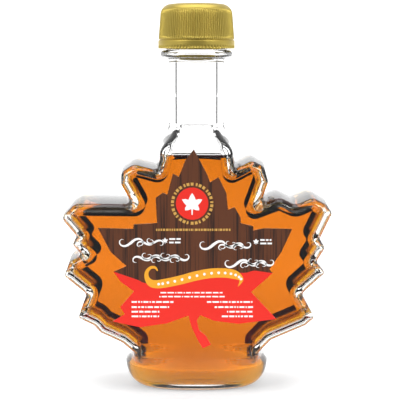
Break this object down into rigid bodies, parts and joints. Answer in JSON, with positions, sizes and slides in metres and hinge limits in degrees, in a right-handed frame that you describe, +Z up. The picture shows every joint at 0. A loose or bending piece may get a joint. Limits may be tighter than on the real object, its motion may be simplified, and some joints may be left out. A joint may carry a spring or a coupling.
{
  "type": "maple syrup bottle",
  "caption": "Clear glass bottle in the shape of a leaf, full of amber syrup, with a gold ribbed screw cap and a leaf-shaped paper label.",
  "frame": {"origin": "middle of the flat foot the bottle stands on", "axes": "+Z up along the neck, +X to the right across the leaf as the label is read, -Y out of the label face"},
  "size_m": [0.1107, 0.0423, 0.158],
  "materials": {
    "clear_glass": "clear, polished",
    "amber_syrup": "clear amber liquid",
    "gold_cap": "gold lacquer, satin",
    "label_paper": "printed, satin"
  },
  "bodies": {
    "root": {"bottle": "clear_glass", "syrup": "amber_syrup", "cap": "gold_cap", "label": "label_paper"}
  },
  "joints": []
}
